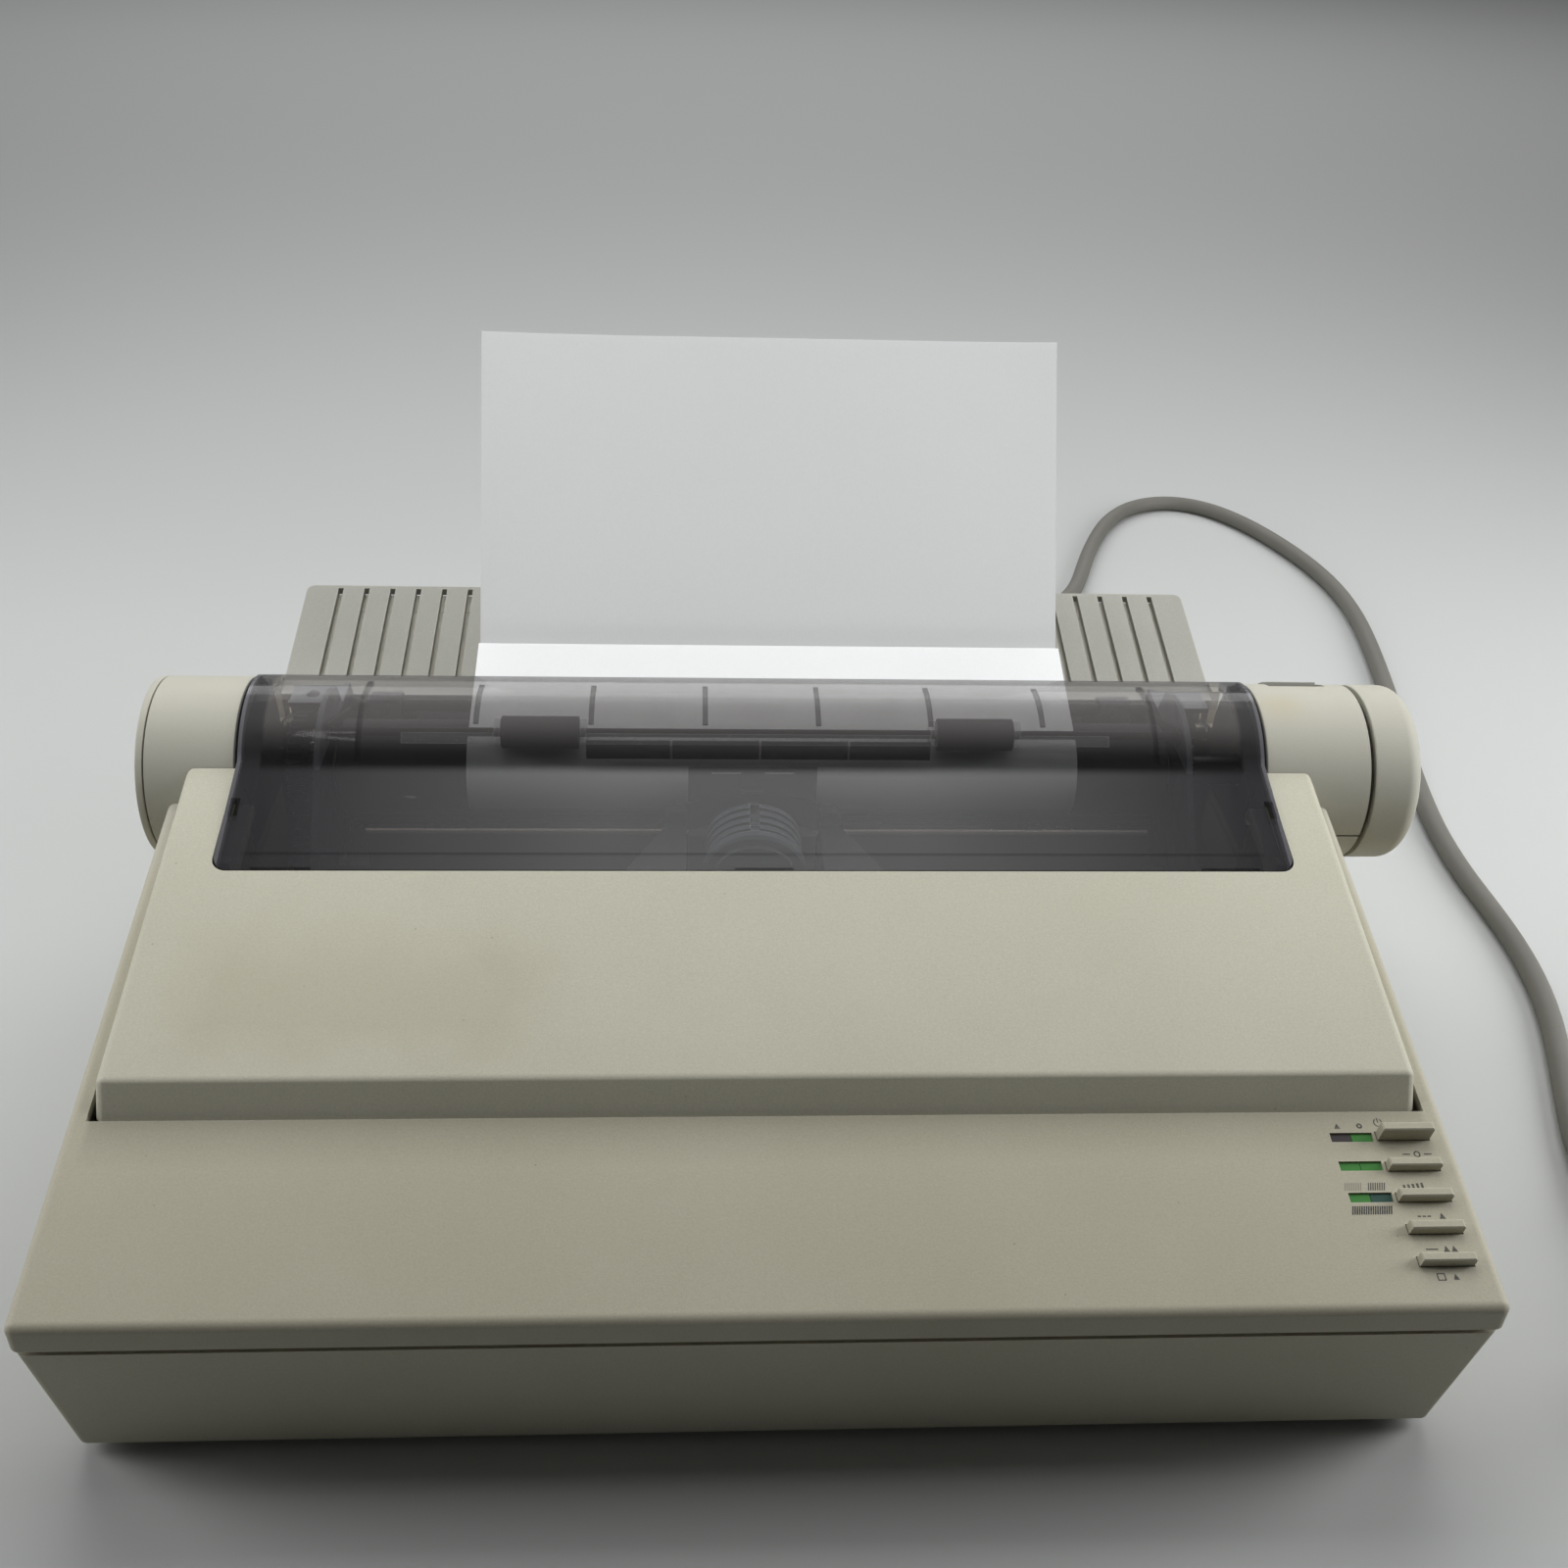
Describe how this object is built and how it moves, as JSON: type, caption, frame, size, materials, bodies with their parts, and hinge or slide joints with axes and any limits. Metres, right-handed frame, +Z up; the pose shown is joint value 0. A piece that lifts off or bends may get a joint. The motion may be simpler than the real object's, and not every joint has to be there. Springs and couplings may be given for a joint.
{
  "type": "dot matrix printer",
  "caption": "Desktop dot matrix printer with a hinged front cover, smoked carrier cover, roller platen, paper rack, loaded sheet and mains lead.",
  "frame": {"origin": "on the table under the middle of the printer box, without its mains lead", "axes": "+X to the right seen from the front, +Y to the rear, +Z up"},
  "size_m": [0.5509, 0.6695, 0.2163],
  "materials": {
    "case_plastic": "moulded, fine grain, aged",
    "cover_plastic": "moulded, fine grain, yellowed",
    "smoked_plastic": "translucent smoked, glossy",
    "black_rubber": "ground",
    "steel_sheet": "zinc plated sheet",
    "bright_steel": "polished rod",
    "white_nylon": "moulded",
    "black_plastic": "moulded",
    "cast_alloy": "die cast",
    "brass": "turned",
    "clear_plastic": "clear",
    "green_lens": "translucent",
    "green_board": "printed board",
    "transformer": "varnished",
    "grey_plastic": "moulded",
    "white_paper": "plain",
    "cord_sheath": "extruded, matte"
  },
  "bodies": {
    "case": {"lower_case": "case_plastic", "upper_case": "case_plastic", "end_cap": "case_plastic", "base_plate": "steel_sheet", "frame_left": "steel_sheet", "frame_right": "steel_sheet", "paper_pan": "steel_sheet", "rear_guide": "grey_plastic", "guide_rail": "bright_steel", "platen_bushes": "white_nylon", "feed_motor": "cast_alloy", "tractor_rod": "bright_steel", "bail_springs": "bright_steel", "carriage_rod": "bright_steel", "drive_belt": "black_rubber", "carriage_motor": "cast_alloy", "button_board": "green_board", "status_lenses": "green_lens", "logic_board": "green_board", "power_supply": "transformer", "data_port": "cast_alloy", "power_inlet": "black_plastic", "feet": "black_rubber", "case_screws": "steel_sheet", "paper_sheet": "white_paper", "cord_connector": "cord_sheath", "cord_lead": "cord_sheath", "cord_coil": "cord_sheath", "cord_run": "cord_sheath", "cord_plug": "cord_sheath", "cord_tie": "black_plastic"},
    "front_cover": {"front_cover": "cover_plastic"},
    "carrier_cover": {"carrier_cover": "smoked_plastic"},
    "paper_rack": {"paper_rack": "case_plastic"},
    "platen": {"platen": "black_rubber", "platen_shaft": "bright_steel", "platen_gear": "white_nylon", "platen_knob": "case_plastic"},
    "feed_idler": {"feed_idler": "white_nylon"},
    "feed_pinion": {"feed_pinion": "brass"},
    "pinch_rollers": {"pinch_rollers": "black_rubber"},
    "tractor_shaft": {"tractor_shaft": "bright_steel"},
    "tractor_left": {"tractor_left": "black_plastic"},
    "tractor_right": {"tractor_right": "black_plastic"},
    "paper_bail": {"paper_bail": "bright_steel", "bail_guide": "clear_plastic"},
    "bail_roller_left": {"bail_roller_left": "black_rubber"},
    "bail_roller_right": {"bail_roller_right": "black_rubber"},
    "release_lever": {"release_lever": "case_plastic"},
    "carriage": {"carriage": "black_plastic", "print_head": "cast_alloy", "ribbon_mask": "grey_plastic", "ribbon_cartridge": "black_plastic"},
    "motor_pulley": {"motor_pulley": "brass"},
    "belt_pulley": {"belt_pulley": "white_nylon"},
    "power_button": {"power_button": "case_plastic"},
    "select_button": {"select_button": "case_plastic"},
    "quality_button": {"quality_button": "case_plastic"},
    "line_button": {"line_button": "case_plastic"},
    "form_button": {"form_button": "case_plastic"}
  },
  "joints": [
    {"name": "front_cover_hinge", "type": "hinge", "parent": "case", "child": "front_cover", "pos_m": [-0.01175, -0.08485, 0.08035], "axis": [1, 0, 0], "range_deg": [0, 60]},
    {"name": "carrier_cover_hinge", "type": "hinge", "parent": "case", "child": "carrier_cover", "pos_m": [-0.01175, 0.06313, 0.12149], "axis": [-1, 0, 0], "range_deg": [0, 85]},
    {"name": "paper_rack_hinge", "type": "hinge", "parent": "case", "child": "paper_rack", "pos_m": [-0.01175, 0.09565, 0.10194], "axis": [1, 0, 0], "range_deg": [0, 35]},
    {"name": "platen_spin", "type": "hinge", "parent": "case", "child": "platen", "pos_m": [-0.01175, 0.05205, 0.096], "axis": [1, 0, 0], "continuous": true},
    {"name": "feed_idler_spin", "type": "hinge", "parent": "case", "child": "feed_idler", "pos_m": [-0.01175, 0.03789, 0.06564], "axis": [1, 0, 0], "continuous": true},
    {"name": "feed_pinion_spin", "type": "hinge", "parent": "case", "child": "feed_pinion", "pos_m": [-0.01175, 0.05203, 0.04879], "axis": [1, 0, 0], "continuous": true},
    {"name": "tractor_shaft_spin", "type": "hinge", "parent": "case", "child": "tractor_shaft", "pos_m": [-0.01175, 0.07641, 0.09038], "axis": [1, 0, 0], "continuous": true},
    {"name": "pinch_roller_spin", "type": "hinge", "parent": "case", "child": "pinch_rollers", "pos_m": [-0.01175, 0.05205, 0.0736], "axis": [1, 0, 0], "continuous": true},
    {"name": "paper_bail_lift", "type": "hinge", "parent": "case", "child": "paper_bail", "pos_m": [-0.01175, 0.07265, 0.104], "axis": [-1, 0, 0], "range_deg": [0, 3.5], "deforming": ["bail_springs"]},
    {"name": "bail_roller_left_spin", "type": "hinge", "parent": "paper_bail", "child": "bail_roller_left", "pos_m": [-0.01175, 0.04215, 0.11665], "axis": [1, 0, 0], "continuous": true},
    {"name": "bail_roller_right_spin", "type": "hinge", "parent": "paper_bail", "child": "bail_roller_right", "pos_m": [-0.01175, 0.04215, 0.11665], "axis": [1, 0, 0], "continuous": true},
    {"name": "release_lever_swing", "type": "hinge", "parent": "case", "child": "release_lever", "pos_m": [-0.01175, 0.05205, 0.096], "axis": [1, 0, 0], "range_deg": [-12, 12]},
    {"name": "carriage_slide", "type": "slide", "parent": "case", "child": "carriage", "axis": [1, 0, 0], "range_m": [-0.096, 0.096]},
    {"name": "motor_pulley_spin", "type": "hinge", "parent": "case", "child": "motor_pulley", "pos_m": [-0.13975, -0.02535, 0.05], "axis": [0, 0, 1], "range_deg": [-927, 927]},
    {"name": "belt_pulley_spin", "type": "hinge", "parent": "case", "child": "belt_pulley", "pos_m": [0.11625, -0.02535, 0.05], "axis": [0, 0, 1], "range_deg": [-927, 927]},
    {"name": "tractor_left_slide", "type": "slide", "parent": "case", "child": "tractor_left", "axis": [1, 0, 0], "range_m": [0, 0.028]},
    {"name": "tractor_right_slide", "type": "slide", "parent": "case", "child": "tractor_right", "axis": [1, 0, 0], "range_m": [-0.017, 0]},
    {"name": "power_button_press", "type": "slide", "parent": "case", "child": "power_button", "axis": [0, 0.2105, -0.9776], "range_m": [0, 0.0016], "stiffness_N_per_m": 300, "springref_m": -0.0002},
    {"name": "select_button_press", "type": "slide", "parent": "case", "child": "select_button", "axis": [0, 0.2105, -0.9776], "range_m": [0, 0.0016], "stiffness_N_per_m": 300, "springref_m": -0.0002},
    {"name": "quality_button_press", "type": "slide", "parent": "case", "child": "quality_button", "axis": [0, 0.2105, -0.9776], "range_m": [0, 0.0016], "stiffness_N_per_m": 300, "springref_m": -0.0002},
    {"name": "line_button_press", "type": "slide", "parent": "case", "child": "line_button", "axis": [0, 0.2105, -0.9776], "range_m": [0, 0.0016], "stiffness_N_per_m": 300, "springref_m": -0.0002},
    {"name": "form_button_press", "type": "slide", "parent": "case", "child": "form_button", "axis": [0, 0.2105, -0.9776], "range_m": [0, 0.0016], "stiffness_N_per_m": 300, "springref_m": -0.0002}
  ],
  "couplings": [
    {"joint": "feed_idler_spin", "follows": "platen_spin", "ratio": -1.2333},
    {"joint": "feed_pinion_spin", "follows": "platen_spin", "ratio": 2.6429},
    {"joint": "tractor_shaft_spin", "follows": "platen_spin", "ratio": -2.8462},
    {"joint": "pinch_roller_spin", "follows": "platen_spin", "ratio": -3.42},
    {"joint": "motor_pulley_spin", "follows": "carriage_slide", "rad_per_m": -166.67},
    {"joint": "belt_pulley_spin", "follows": "carriage_slide", "rad_per_m": -166.67}
  ]
}
